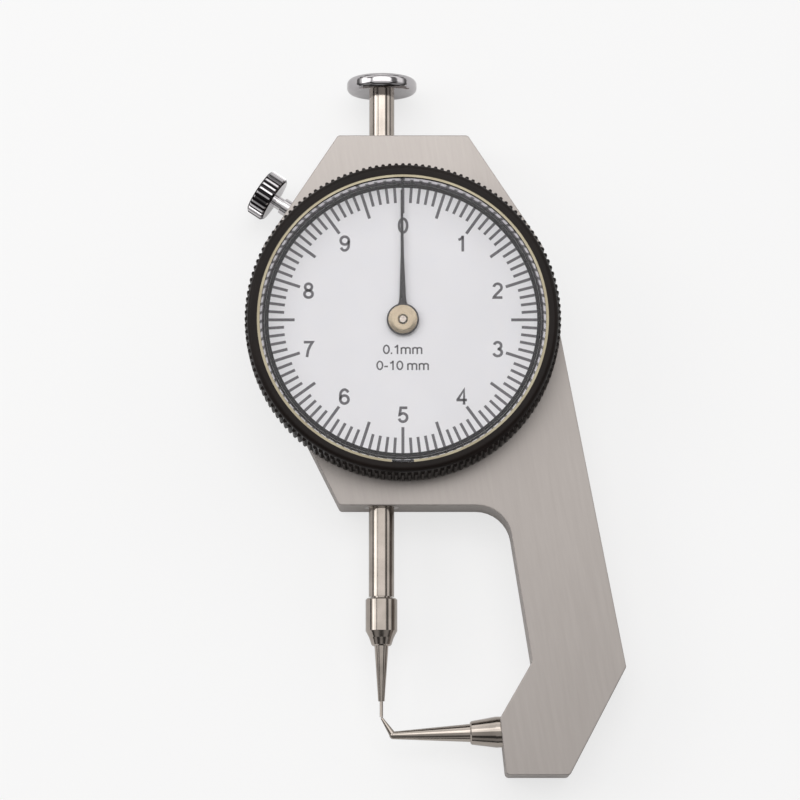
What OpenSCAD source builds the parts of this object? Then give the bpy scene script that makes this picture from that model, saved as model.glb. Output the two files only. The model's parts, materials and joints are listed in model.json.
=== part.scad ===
// Pocket dial thickness gauge: a C-shaped frame plate carries a sprung measuring
// spindle whose rack turns a pinion, so that one turn of the hand is one full stroke.
// Axes: X to the right, Y up the spindle, Z out of the dial. The dial axis is X = Y = 0
// and the flat back of the frame is Z = 0. Lengths are in millimetres.

/* [Frame plate] */
// Thickness of the C-shaped frame plate
frame_t = 9; // [8.6:0.1:11]
// Height of the head's flat top edge above the dial axis
head_top = 29.1; // [28:0.1:34]
// Length of the head's flat top edge
head_top_w = 19.6; // [17:0.2:24]
// Width of the head across its upright sides
head_w = 42; // [41:0.5:46]
// Height of the upper shoulders above the dial axis
shoulder_up = 12.2; // [9:0.1:14]
// Depth of the lower left shoulder below the dial axis
shoulder_down = 4.3; // [2:0.1:8]
// Depth of the head's flat bottom edge below the dial axis
head_bottom = 27.1; // [26.5:0.1:32]
// Left end of the head's bottom edge, measured from the dial axis
bottom_left = 9.5; // [7:0.1:13]
// Inner edge of the arm where it leaves the head, measured from the dial axis
arm_root = 15.5; // [13:0.1:18]
// Inner edge of the arm at the notch above the foot
notch_x = 19.2; // [17:0.1:22]
// Outermost point of the arm's elbow
elbow_x = 33.1; // [30:0.1:38]
// Height of the elbow above the measuring point
elbow_rise = 7.2; // [4:0.1:12]
// Height of the notch above the measuring point
notch_rise = 8.05; // [5:0.1:12]
// Face of the foot that carries the anvil, measured from the dial axis
jaw_x = 14.4; // [12.5:0.1:16]
// Left corner of the foot's end
foot_left = 15.3; // [13:0.1:18]
// Right corner of the foot's end
foot_right = 24.7; // [21:0.1:28]
// Drop of the foot's end below the measuring point
foot_drop = 8.75; // [7.5:0.05:12]
// Radius of the fillet where the arm leaves the head
throat_r = 5.3; // [2:0.1:8]
// Radius of the jaw's rounded corner
jaw_r = 1.5; // [0.5:0.1:2.5]
// Radius of the other corners of the plate
corner_r = 0.6; // [0.2:0.1:1.5]

/* [Spindle] */
// Diameter of the measuring spindle
spindle_d = 3.8; // [3.4:0.1:4.2]
// Depth of the spindle axis below the front of the frame plate
spindle_depth = 3.6; // [3.4:0.05:4]
// Stroke of the spindle, which is one turn of the hand
travel = 10; // [6:1:12]
// Depth of the measuring point below the dial axis, with the tips closed
tip_depth = 58.45; // [55:0.05:64]
// Clear height of the stem between the head and the lift cap
cap_rise = 7.2; // [5:0.1:12]
// Diameter of the lift cap
cap_d = 10.6; // [8:0.1:10.7]
// Height of the lift cap
cap_h = 2.6; // [2:0.1:4]
// Radius of the lift cap's rounded rim
cap_r = 0.9; // [0.4:0.1:1]
// Rise of the lift cap's domed top
cap_dome = 0.35; // [0:0.05:0.6]
// Diameter of the stub that carries the lift cap
cap_stub_d = 2.4; // [1.6:0.1:2.8]
// Length of the stub that carries the lift cap
cap_stub_l = 1.3; // [1:0.1:1.5]
// Outside diameter of the spindle bushes
bush_d = 5.2; // [5:0.1:5.4]
// Length of each spindle bush
bush_l = 7.2; // [5:0.1:7.4]

/* [Contact point] */
// Diameter of the contact point's collar
collar_d = 4.75; // [4.2:0.05:5.5]
// Length of the collar with its bevel
collar_l = 5.85; // [3:0.05:8]
// Length of the bevel at the collar's lower end
collar_bevel = 1; // [0.2:0.1:2]
// Width of the groove between the spindle and the collar
groove_w = 0.25; // [0.2:0.05:0.6]
// Diameter of the groove's floor
groove_d = 3; // [2.6:0.1:3.4]
// Diameter of the neck below the collar
step_d = 3.7; // [3.4:0.1:4.2]
// Diameter at the small end of the neck
step_end_d = 3; // [2.4:0.1:3.3]
// Length of the neck
step_l = 1.25; // [1:0.05:3]
// Diameter of the needle at its thick end
needle_d = 2.1; // [1.5:0.1:2.2]
// Diameter of the needle at its thin end
needle_end_d = 0.95; // [0.7:0.05:1.3]
// Length of the tapered needle
needle_l = 8.25; // [5:0.05:10]
// Diameter of the measuring pin
pin_d = 0.5; // [0.3:0.05:0.6]
// Length of the measuring pin
pin_l = 2.35; // [1:0.05:3]
// Diameter of the contact point's screwed stub
stub_d = 2; // [1.4:0.1:2.4]
// Length of the contact point's screwed stub
stub_l = 4; // [2:0.1:6]

/* [Anvil] */
// Diameter of the anvil holder where it leaves the foot
holder_d = 4.6; // [4:0.1:5]
// Diameter of the anvil holder at its free end
holder_end_d = 3.5; // [3:0.1:3.9]
// Length of the anvil holder outside the foot
holder_l = 4.4; // [3:0.1:6]
// Depth of the seat that the holder's base is let into
holder_seat = 0.6; // [0.4:0.1:1]
// Diameter of the holder's shank inside the foot
shank_d = 3; // [2.4:0.1:3.4]
// Length of the holder's shank inside the foot
shank_l = 5.5; // [4:0.1:6.5]
// Diameter of the anvil needle's shank inside its holder
anvil_shank_d = 1.6; // [1.2:0.1:1.8]
// Diameter of the anvil needle where it leaves its holder
anvil_d = 2.7; // [1.8:0.1:2.9]
// Diameter of the anvil needle at its bend
anvil_bend_d = 1.15; // [0.9:0.05:1.4]
// Diameter of the anvil needle's bent tip
anvil_tip_d = 0.4; // [0.3:0.05:0.6]
// Drop of the anvil needle's bend below the measuring point
anvil_drop = 2.65; // [2:0.05:4]
// Set of the anvil needle's bend beside the spindle axis
anvil_set = 1.75; // [1:0.05:3]
// Fall of the anvil needle from its holder to its bend, in degrees
anvil_tilt = 1.8; // [0:0.1:4]

/* [Movement] */
// Pitch of the rack on the spindle
rack_pitch = 0.625; // [0.5:0.005:0.7]
// Number of teeth on the pinion
pinion_teeth = 16; // [14:1:20]
// Height of a tooth above the pitch line
tooth_add = 0.16; // [0.1:0.01:0.2]
// Depth of a tooth below the pitch line
tooth_ded = 0.2; // [0.12:0.01:0.25]
// Depth of the flat that the rack's tooth tips lie on
rack_flat = 0.13; // [0.05:0.01:0.3]
// Free play between the teeth, measured along the pitch line
backlash = 0.05; // [0.02:0.01:0.08]
// Width of the pinion
pinion_w = 3; // [2:0.1:3.4]
// Diameter of the arbor between its bushes
arbor_d = 1.2; // [1.1:0.05:1.5]
// Diameter of the arbor's front journal, which carries the hand
journal_d = 1; // [0.8:0.05:1.05]
// Diameter of the arbor's rear pivot
pivot_d = 0.8; // [0.6:0.05:1]
// Diameter of the pocket for the movement
pocket_d = 30.8; // [30:0.1:31.4]
// Distance of the bridge lugs from the dial axis
lug_x = 12.4; // [12:0.1:13]
// Width of the bridge lugs
lug_w = 6; // [4:0.1:8]
// Depth of the lugs below the front of the frame plate
lug_depth = 1; // [0.5:0.1:2]
// Thickness of the rear bridge plate
rear_bridge_t = 1; // [0.8:0.1:1.2]
// Thickness of the front bridge
front_bridge_t = 1; // [0.8:0.1:1.4]
// Width of the front bridge
front_bridge_w = 8; // [6:0.1:10]
// Room between the front bridge and the dial
bridge_room = 1.8; // [1.5:0.1:2.2]
// Outside diameter of the arbor bushes
arbor_bush_d = 2.4; // [2:0.1:2.8]
// Diameter of the arbor bushes' flanges
arbor_flange_d = 3.2; // [2.8:0.1:3.4]
// Thickness of the arbor bushes' flanges
arbor_flange_t = 0.4; // [0.3:0.05:0.6]
// Diameter of the bridge pillars
pillar_d = 4; // [3:0.1:5]
// Diameter of the bridge screws
bridge_screw_d = 1.6; // [1.2:0.1:2]
// Diameter of the spindle's guide pin
guide_d = 0.9; // [0.6:0.05:1.1]
// Diameter of the pins that hold the return spring
spring_pin_d = 1; // [0.8:0.05:1.2]
// Distance of the return spring from the side of the spindle
spring_off = 2.5; // [2:0.1:3]
// Depth of the spindle's spring pin below the dial axis at rest
spring_pin_drop = 2.4; // [1.5:0.1:3]
// Depth of the spring's fixed post below the dial axis
spring_post_drop = 11.6; // [10.5:0.1:12]
// Outside diameter of the return spring
spring_d = 1.8; // [1.4:0.1:2.2]
// Wire diameter of the return spring
spring_wire = 0.25; // [0.2:0.05:0.35]
// Number of turns of the return spring
spring_turns = 10; // [8:1:12]
// Number of turns of the hairspring
hair_turns = 5; // [3:1:7]
// Thickness of the hairspring's strip
hair_t = 0.1; // [0.06:0.02:0.16]
// Width of the hairspring's strip
hair_w = 0.6; // [0.4:0.1:0.8]
// Radius at the hairspring's outer end
hair_r = 4.4; // [3.4:0.1:5]
// Diameter of the hairspring's collet
collet_d = 2.4; // [2:0.1:2.8]
// Diameter of the hairspring's stud
stud_d = 0.9; // [0.6:0.1:1.2]

/* [Rear cover] */
// Diameter of the rear cover
cover_d = 35; // [34.4:0.1:36]
// Thickness of the rear cover
cover_t = 1.2; // [1:0.1:1.4]
// Number of screws in the rear cover
cover_screws = 4; // [3:1:6]
// Diameter of the rear cover's screws
cover_screw_d = 1.3; // [1:0.1:1.5]
// Head diameter of the rear cover's screws
cover_head_d = 2.2; // [1.9:0.1:2.4]
// Length of the rear cover's screws
cover_screw_l = 2.6; // [2.2:0.1:3]

/* [Bezel and dial] */
// Diameter of the bezel over its ridges
bezel_d = 47; // [46:0.2:50]
// Height of the bezel's rim
bezel_h = 7.4; // [6.8:0.1:9]
// Gap between the bezel and the frame plate
bezel_gap = 0.3; // [0.2:0.05:0.6]
// Number of ridges round the bezel
ridges = 148; // [100:2:160]
// Height of the ridges
ridge_h = 0.38; // [0.2:0.02:0.5]
// Radius of the bezel's rounded front edge
bezel_round = 0.8; // [0.4:0.1:1.2]
// Width of the bezel's front ring, from its ridges to the crystal's seat
bezel_lip = 1.85; // [1.6:0.05:2.2]
// Width of the ledge that carries the dial
dial_ledge = 2.2; // [1.5:0.1:2.6]
// Diameter of the bezel's skirt, which turns in the frame
skirt_d = 37.6; // [37:0.1:38]
// Wall thickness of the skirt
skirt_t = 1.1; // [0.9:0.05:1.2]
// Depth of the groove in the frame for the skirt
skirt_groove = 1.1; // [0.9:0.05:1.2]
// Height of the snap ring's section
snap_h = 0.4; // [0.3:0.05:0.45]
// Width of the snap ring's section
snap_w = 0.5; // [0.4:0.05:0.6]
// Depth of the dial face below the bezel's front
dial_depth = 2.8; // [2.6:0.05:3.2]
// Thickness of the dial plate
dial_t = 0.5; // [0.3:0.05:0.8]
// Diameter of the dial plate's middle hole
dial_hole_d = 2.4; // [1.6:0.1:2.8]
// Width of the spacer ring round the dial face
spacer_w = 1.05; // [0.9:0.05:2]
// Lean of the spacer ring's polished inner wall over its height
spacer_lean = 0.65; // [0.3:0.05:0.8]
// Height of the spacer ring between dial and crystal
spacer_h = 1; // [0.9:0.05:1.2]
// Thickness of the crystal
crystal_t = 1.2; // [0.8:0.1:1.3]
// Width of the bevel round the crystal
crystal_bevel = 0.4; // [0.2:0.05:0.6]
// Width of the retaining ring that shows over the crystal
retainer_w = 0.4; // [0.3:0.05:0.9]
// Height of the retaining ring's section
retainer_h = 0.35; // [0.2:0.05:0.4]
// Depth of the bezel's groove that the retaining ring springs into
retainer_groove = 0.2; // [0.1:0.05:0.3]
// Gap between the ends of the retaining ring
retainer_gap = 3.3; // [1:0.1:6]

/* [Hand] */
// Gap between the hand's tip and the spacer ring
hand_clear = 1; // [0.1:0.05:3]
// Width of the hand beside its boss
hand_w = 0.95; // [0.6:0.05:1.4]
// Width of the hand at its tip
hand_tip_w = 0.32; // [0.2:0.02:0.5]
// Diameter of the hand's round boss
hand_boss_d = 4.8; // [4.4:0.1:6]
// Thickness of the hand
hand_t = 0.15; // [0.1:0.01:0.2]
// Diameter of the hand's hub
hub_d = 4.3; // [3:0.1:4.4]
// Angle at which the hand is set on the arbor, from the zero mark
hand_set = 0.5; // [-3:0.5:3]

/* [Lock screw] */
// Place of the lock screw along the left shoulder, from the upright side
lock_along = 7.2; // [6:0.1:9]
// Diameter of the lock screw's threaded shank
lock_d = 2.5; // [2:0.1:2.8]
// Diameter of the lock screw's neck below its head
lock_neck_d = 1.9; // [1.4:0.1:2]
// Length of the lock screw's neck
lock_neck_l = 1.4; // [0.8:0.1:2]
// Diameter of the lock screw's knurled head
lock_head_d = 7.3; // [6:0.1:8]
// Thickness of the lock screw's knurled head
lock_head_t = 2.8; // [2:0.1:4]
// Distance of the lock screw's head from the shoulder
lock_stand = 2.85; // [2.2:0.05:4]
// Number of ridges round the lock screw's head
lock_ridges = 28; // [20:2:40]
// Diameter of the lock screw's rounded end
lock_tip_d = 1.6; // [1.2:0.1:1.9]

/* [Clearances] */
// Radial clearance of a shaft that turns or slides
run_fit = 0.02; // [0.01:0.01:0.05]
// Radial clearance of a piece pressed or screwed into its seat
press_fit = 0.01; // [0.01:0.01:0.03]
// Clearance between pieces that pass each other
pass_gap = 0.15; // [0.1:0.05:0.2]
// Gap between the two measuring tips when closed
tip_gap = 0.05; // [0.03:0.01:0.1]
// Gap between the lock screw and the spindle while it is loose
lock_gap = 0.1; // [0.05:0.05:0.2]

/* [Hidden] */
$fn = 64;

// Overlap of a cutting shape past the faces that it cuts
cut = 1;
// Heads of the small screws: their height, their slot and how far they overhang the shank
screw_head_h = 0.7;
slot_w = 0.3;
slot_h = 0.3;
head_overhang = 0.5;
bridge_head_d = bridge_screw_d + 2 * head_overhang;
// Number of straight steps in a rounded corner
arc_steps = 8;
// Half widths of a ridge at its foot and its top, as parts of the ridges' pitch
ridge_foot = 0.34;
ridge_top = 0.16;

// Gear geometry: one turn of the pinion takes in as many rack pitches as it has teeth
pressure_angle = 20;
pinion_rp = pinion_teeth * rack_pitch / (2 * PI);
pinion_rb = pinion_rp * cos(pressure_angle);
pinion_ra = pinion_rp + tooth_add;
pinion_rf = pinion_rp - tooth_ded;
tooth_w = (rack_pitch - backlash) / 2;
rack_line = spindle_d / 2 - rack_flat - tooth_add;

// Spindle line
spindle_r = spindle_d / 2;
spindle_x = -(pinion_rp + rack_line);
spindle_z = frame_t - spindle_depth;
spindle_top = head_top + cap_rise;
contact_l = collar_l + step_l + needle_l + pin_l;
spindle_end = -tip_depth + contact_l + groove_w;
// The rack runs clear of the pinion at both ends of the stroke
rack_run_out = pinion_ra + pass_gap;
// The guide pin stands half a stroke below the dial axis, and its slot ends just past it
guide_y = -travel / 2;
guide_end = guide_d / 2 + pass_gap;
// Depth of the spindle's cross holes for its two pins
pin_seat = spindle_r;

// Levels of the movement from back to front
rear_z0 = cover_t + pass_gap;
rear_z1 = rear_z0 + rear_bridge_t;
lug_z1 = frame_t - lug_depth;
bridge_hole_depth = (lug_z1 - rear_z1) / 2 - pass_gap;
bezel_z0 = frame_t + bezel_gap;
bezel_z1 = bezel_z0 + bezel_h;
dial_z1 = bezel_z1 - dial_depth;
dial_z0 = dial_z1 - dial_t;
front_z1 = dial_z0 - bridge_room;
front_z0 = front_z1 - front_bridge_t;
crystal_z0 = dial_z1 + spacer_h;
crystal_z1 = crystal_z0 + crystal_t;
arbor_z0 = rear_z0 + pass_gap;
arbor_play = 0.05;
shoulder_z0 = rear_z1 + arbor_flange_t + arbor_play;
shoulder_z1 = front_z0 - arbor_flange_t - arbor_play;
hub_z0 = dial_z1 + pass_gap;
hub_z1 = crystal_z0 - pass_gap;
hand_z0 = hub_z0 + (hub_z1 - hub_z0 - hand_t) / 2;
hand_z1 = hand_z0 + hand_t;
hub_wall = 0.4;
hub_core_d = journal_d + 2 * hub_wall;

// Radii of the case
pocket_r = pocket_d / 2;
cover_r = cover_d / 2;
cover_screw_r = (pocket_r + cover_r) / 2;
skirt_ro = skirt_d / 2;
skirt_ri = skirt_ro - skirt_t;
seat_r = bezel_d / 2 - bezel_lip;
ledge_r = seat_r - dial_ledge;
face_r = seat_r - spacer_w;
hand_l = face_r - hand_clear;
bezel_root_r = bezel_d / 2 - ridge_h;
retainer_z1 = crystal_z1 + retainer_h;
// The snap ring lies in the middle of the skirt's depth
skirt_z0 = frame_t - skirt_groove + pass_gap;
snap_z0 = skirt_z0 + (frame_t - skirt_z0 - snap_h) / 2;
snap_play = pass_gap / 2;

// Hairspring, in front of the spindle
hair_z0 = spindle_z + spindle_r + (front_z0 - spindle_z - spindle_r - hair_w) / 2;
collet_side = 0.2;
stud_r = hair_r + hair_t / 2 + press_fit + stud_d / 2;

// Return spring, beside the spindle
spring_x = spindle_x - spindle_r - spring_off;
loop_r = spring_pin_d / 2 + spring_wire / 2 + press_fit;
coil_r = (spring_d - spring_wire) / 2;

// Measuring point, anvil and foot of the frame
tip_at = [spindle_x, -tip_depth - tip_gap];
bend_at = tip_at + [anvil_set, -anvil_drop];
anvil_dir = [cos(anvil_tilt), sin(anvil_tilt)];
holder_base = bend_at + anvil_dir * ((jaw_x - bend_at[0]) / anvil_dir[0]);
jaw_y = holder_base[1] + holder_d / 2 - jaw_r / 4;
foot_y = -tip_depth - foot_drop;
notch_y = -tip_depth + notch_rise;
elbow_y = -tip_depth + elbow_rise;
bend_inset = 0.05;

// Left shoulder, which the lock screw stands square to
shoulder_a = [-head_w / 2, shoulder_up];
shoulder_b = [-head_top_w / 2, head_top];
shoulder_dir = (shoulder_b - shoulder_a) / norm(shoulder_b - shoulder_a);
lock_out = [-shoulder_dir[1], shoulder_dir[0]];
lock_at = shoulder_a + shoulder_dir * lock_along;
lock_tip_r = lock_tip_d / 2;
lock_reach = (lock_at[0] - (spindle_x - spindle_r - lock_gap - lock_tip_r)) / lock_out[0];

// A point at radius r and angle a
function polar(r, a) = r * [cos(a), sin(a)];

// Points of an arc that rounds the corner at b between a and c
function corner_arc(a, b, c, r, steps) =
  let (
    u = (a - b) / norm(a - b),
    v = (c - b) / norm(c - b),
    half = acos(u * v) / 2,
    mid = (u + v) / norm(u + v),
    centre = b + mid * r / sin(half),
    from = b + u * r / tan(half) - centre,
    to = b + v * r / tan(half) - centre,
    a0 = atan2(from[1], from[0]),
    turn = atan2(from[0] * to[1] - from[1] * to[0], from * to)
  )
  [for (i = [0:steps]) centre + polar(r, a0 + turn * i / steps)];

// A quarter circle of radius r about a centre, from its right to its top
function quarter(centre, r) = [for (i = [0:arc_steps]) centre + polar(r, 90 * i / arc_steps)];

// A closed outline from corners that are each a point and its radius
function rounded(corners) =
  let (n = len(corners))
  [for (i = [0:n - 1])
    let (before = corners[(i + n - 1) % n][0], after = corners[(i + 1) % n][0])
    each corner_arc(before, corners[i][0], after, corners[i][1], arc_steps)];

// The frame plate's corners, clockwise from the top left, each with its radius
frame_corners = [
  [shoulder_b, corner_r],
  [[head_top_w / 2, head_top], corner_r],
  [[head_w / 2, shoulder_up], corner_r],
  [[elbow_x, elbow_y], corner_r],
  [[foot_right, foot_y], corner_r],
  [[foot_left, foot_y], corner_r],
  [[jaw_x, jaw_y], jaw_r],
  [[notch_x, notch_y], corner_r],
  [[arm_root, -head_bottom], throat_r],
  [[-bottom_left, -head_bottom], corner_r],
  [[-head_w / 2, -shoulder_down], corner_r],
  [shoulder_a, corner_r]
];

// Involute of the base circle: polar angle at a radius
function involute_angle(r) =
  let (t = sqrt(max(0, pow(r / pinion_rb, 2) - 1)))
  t * 180 / PI - atan(t);

// Half the angle that a pinion tooth takes up at a radius
function tooth_half(r) =
  tooth_w / pinion_rp * 90 / PI + involute_angle(pinion_rp) - involute_angle(max(r, pinion_rb));

// Radii at which each flank of a pinion tooth is drawn
flank_radii = [for (i = [0:4]) pinion_rf + (pinion_ra - pinion_rf) * i / 4];

// One flank of the tooth that is centred on angle a
function flank(a, side) = [for (r = flank_radii) polar(r, a + side * tooth_half(r))];

function reversed(list) = [for (i = [len(list) - 1:-1:0]) list[i]];

// Pinion outline, with one tooth centred on the rack's side
pinion_outline = [for (i = [0:pinion_teeth - 1])
  let (a = 180 + i * 360 / pinion_teeth)
  each concat(flank(a, -1), reversed(flank(a, 1)))];

// Half widths of a rack gap at its mouth and at its root
rack_gap_mouth = (rack_pitch - tooth_w) / 2 + tooth_add * tan(pressure_angle);
rack_gap_root = (rack_pitch - tooth_w) / 2 - tooth_ded * tan(pressure_angle);
rack_gaps_up = floor(rack_run_out / rack_pitch);
rack_gaps_down = floor((travel + rack_run_out) / rack_pitch);

// Zigzag of the rack, as X from the spindle axis and Y, with a gap centred on the pinion
rack_zigzag = [for (i = [-rack_gaps_down:rack_gaps_up])
  let (y = i * rack_pitch, root = rack_line - tooth_ded, tip = rack_line + tooth_add)
  each [
    [tip, y - rack_gap_mouth], [root, y - rack_gap_root],
    [root, y + rack_gap_root], [tip, y + rack_gap_mouth]
  ]];

function unit(v) = v / norm(v);

// Normals carried along a path with as little twist as the path allows
function carried_normals(path, i, normal, done) =
  i == len(path) ? done :
  let (
    tangent = path_tangent(path, i),
    next = unit(normal - (normal * tangent) * tangent)
  )
  carried_normals(path, i + 1, next, concat(done, [next]));

function path_tangent(path, i) = unit(path[min(i + 1, len(path) - 1)] - path[max(i - 1, 0)]);

// A round wire of diameter d along a path
module wire(path, d, first_normal, sides = 6) {
  normals = carried_normals(path, 0, first_normal, []);
  rings = [for (i = [0:len(path) - 1])
    let (b = cross(path_tangent(path, i), normals[i]))
    for (k = [0:sides - 1])
      path[i] + d / 2 * (cos(360 * k / sides) * normals[i] + sin(360 * k / sides) * b)];
  last = (len(path) - 1) * sides;
  faces = concat(
    [[for (k = [0:sides - 1]) k]],
    [for (i = [0:len(path) - 2]) for (k = [0:sides - 1])
      let (m = (k + 1) % sides)
      [i * sides + k, (i + 1) * sides + k, (i + 1) * sides + m, i * sides + m]],
    [[for (k = [sides - 1:-1:0]) last + k]]
  );
  polyhedron(rings, faces);
}

// A cylinder along +Y from y0 to y1 on the spindle axis
module spindle_rod(d, y0, y1) {
  translate([spindle_x, y0, spindle_z]) rotate([-90, 0, 0]) cylinder(d = d, h = y1 - y0);
}

// A profile of radius and height, turned about the spindle axis with its height along +Y
module spindle_turned() {
  translate([spindle_x, 0, spindle_z]) rotate([-90, 0, 0]) rotate_extrude() children();
}

// Children stand on the shoulder with their Z out along the lock screw
module at_lock() {
  translate([lock_at[0], lock_at[1], spindle_z])
    rotate([0, 0, atan2(lock_out[1], lock_out[0])]) rotate([0, 90, 0]) children();
}

// Children stand at the holder's base with their Z along the anvil needle, away from the foot
module at_anvil() {
  translate([holder_base[0], holder_base[1], spindle_z])
    rotate([0, 0, anvil_tilt]) rotate([0, -90, 0]) children();
}

module at_lugs() {
  for (side = [-1, 1]) translate([side * lug_x, 0, 0]) children();
}

module at_cover_screws() {
  for (i = [0:cover_screws - 1])
    rotate([0, 0, 45 + i * 360 / cover_screws]) translate([cover_screw_r, 0, 0]) children();
}

// A ring of rectangular section
module ring(r0, r1, z0, z1) {
  rotate_extrude() translate([r0, z0]) square([r1 - r0, z1 - z0]);
}

// A disc whose edge has straight ridges, with both rims chamfered
module ridged_disc(d, h, count, depth, chamfer) {
  intersection() {
    linear_extrude(h) polygon(ridged(count, d / 2 - depth, d / 2));
    rotate_extrude() polygon([
      [0, 0], [d / 2 - chamfer, 0], [d / 2, chamfer], [d / 2, h - chamfer], [d / 2 - chamfer, h], [0, h]
    ]);
  }
}

module frame() {
  color([0.78, 0.76, 0.73]) difference() {
    union() {
      difference() {
        linear_extrude(frame_t) polygon(rounded(frame_corners));
        translate([0, 0, -cut]) cylinder(d = pocket_d, h = frame_t + 2 * cut);
      }
      // Lugs for the two bridges stand on the pocket's wall
      for (side = [0, 180]) rotate([0, 0, side])
        translate([lug_x - lug_w / 2, -lug_w / 2, rear_z1])
          cube([pocket_r + cut / 2 - lug_x + lug_w / 2, lug_w, lug_z1 - rear_z1]);
    }
    // Seat of the rear cover and its screws
    translate([0, 0, -cut]) cylinder(r = cover_r + press_fit, h = cut + cover_t);
    at_cover_screws() cylinder(r = cover_screw_d / 2 + press_fit, h = cover_screw_l + pass_gap);
    // Groove in which the bezel's skirt and its snap ring turn
    ring(skirt_ri - pass_gap, skirt_ro + run_fit, frame_t - skirt_groove, frame_t + cut);
    ring(skirt_ro, skirt_ro + snap_w / 2 + snap_play, snap_z0 - snap_play, snap_z0 + snap_h + snap_play);
    // Bore for the spindle, opened out for its bushes
    spindle_rod(spindle_d + 2 * pass_gap, -head_bottom - cut, head_top + cut);
    spindle_rod(bush_d + 2 * press_fit, head_top - bush_l, head_top + cut);
    spindle_rod(bush_d + 2 * press_fit, -head_bottom - cut, -head_bottom + bush_l);
    // Screw holes in the lugs
    at_lugs() {
      translate([0, 0, lug_z1 - bridge_hole_depth])
        cylinder(r = bridge_screw_d / 2 + press_fit, h = bridge_hole_depth + cut);
      translate([0, 0, rear_z1 - cut])
        cylinder(r = bridge_screw_d / 2 + press_fit, h = bridge_hole_depth + cut);
    }
    // Threaded hole of the lock screw
    at_lock() translate([0, 0, -lock_reach]) cylinder(r = lock_d / 2 + run_fit, h = lock_reach + cut);
    // Seat of the anvil holder
    at_anvil() translate([0, 0, -holder_seat])
      cylinder(r = holder_d / 2 + press_fit, h = holder_seat + 2 * cut);
    at_anvil() translate([0, 0, -holder_seat - shank_l])
      cylinder(r = shank_d / 2 + press_fit, h = shank_l + cut / 2);
  }
}

module rear_cover() {
  color([0.72, 0.71, 0.69]) difference() {
    cylinder(r = cover_r, h = cover_t);
    at_cover_screws() {
      cylinder(r = cover_screw_d / 2 + press_fit, h = cover_screw_l);
      cylinder(r1 = cover_head_d / 2 + press_fit, r2 = cover_screw_d / 2 + press_fit, h = screw_head_h);
    }
  }
}

// A countersunk screw with its head at Z = 0 and its slot facing -Z
module countersunk_screw(d, head_d, l) {
  difference() {
    rotate_extrude() polygon([[0, 0], [head_d / 2, 0], [d / 2, screw_head_h], [d / 2, l], [0, l]]);
    translate([-head_d / 2 - cut, -slot_w / 2, -cut]) cube([head_d + 2 * cut, slot_w, cut + slot_h]);
  }
}

module rear_cover_screws() {
  color([0.6, 0.6, 0.62]) at_cover_screws() countersunk_screw(cover_screw_d, cover_head_d, cover_screw_l);
}

module spindle_bush(y0) {
  difference() {
    spindle_rod(bush_d, y0, y0 + bush_l);
    spindle_rod(spindle_d + 2 * run_fit, y0 - cut, y0 + bush_l + cut);
  }
}

module upper_bush() {
  color([0.72, 0.6, 0.35]) spindle_bush(head_top - bush_l);
}

module lower_bush() {
  color([0.72, 0.6, 0.35]) spindle_bush(-head_bottom);
}

module rear_bridge() {
  color([0.76, 0.64, 0.38]) difference() {
    translate([0, 0, rear_z0]) cylinder(r = pocket_r - pass_gap, h = rear_bridge_t);
    translate([0, 0, rear_z0 - cut]) {
      cylinder(r = arbor_bush_d / 2 + press_fit, h = rear_bridge_t + 2 * cut);
      translate([spring_x, -spring_post_drop, 0])
        cylinder(r = spring_pin_d / 2 + press_fit, h = rear_bridge_t + 2 * cut);
      at_lugs() cylinder(r = bridge_screw_d / 2 + press_fit, h = rear_bridge_t + 2 * cut);
      translate([spindle_x - guide_d / 2 - run_fit, guide_y - guide_end, 0])
        cube([guide_d + 2 * run_fit, travel + 2 * guide_end, rear_bridge_t + 2 * cut]);
    }
    at_lugs() translate([0, 0, rear_z0])
      cylinder(r1 = bridge_head_d / 2 + press_fit, r2 = bridge_screw_d / 2 + press_fit, h = screw_head_h);
  }
}

module rear_bridge_screws() {
  color([0.45, 0.47, 0.52]) at_lugs() translate([0, 0, rear_z0])
    countersunk_screw(bridge_screw_d, bridge_head_d, rear_bridge_t + bridge_hole_depth - pass_gap);
}

module bridge_pillars() {
  color([0.78, 0.68, 0.42]) at_lugs() difference() {
    translate([0, 0, lug_z1]) cylinder(d = pillar_d, h = front_z0 - lug_z1);
    translate([0, 0, lug_z1 - cut])
      cylinder(r = bridge_screw_d / 2 + press_fit, h = front_z0 - lug_z1 + 2 * cut);
  }
}

module front_bridge() {
  color([0.76, 0.64, 0.38]) difference() {
    translate([0, 0, front_z0]) linear_extrude(front_bridge_t) {
      square([2 * lug_x, front_bridge_w], center = true);
      for (side = [-1, 1]) translate([side * lug_x, 0]) circle(d = front_bridge_w);
    }
    translate([0, 0, front_z0 - cut]) {
      cylinder(r = arbor_bush_d / 2 + press_fit, h = front_bridge_t + 2 * cut);
      at_lugs() cylinder(r = bridge_screw_d / 2 + press_fit, h = front_bridge_t + 2 * cut);
      translate([stud_r, 0, 0]) cylinder(r = stud_d / 2 + press_fit, h = front_bridge_t + 2 * cut);
    }
  }
}

module front_bridge_screws() {
  shank = front_z1 - lug_z1 + bridge_hole_depth - pass_gap;
  color([0.45, 0.47, 0.52]) at_lugs() difference() {
    union() {
      translate([0, 0, front_z1 - shank]) cylinder(d = bridge_screw_d, h = shank);
      translate([0, 0, front_z1]) cylinder(d = bridge_head_d, h = screw_head_h);
    }
    translate([-bridge_head_d, -slot_w / 2, front_z1 + screw_head_h - slot_h])
      cube([2 * bridge_head_d, slot_w, slot_h + cut]);
  }
}

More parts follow.
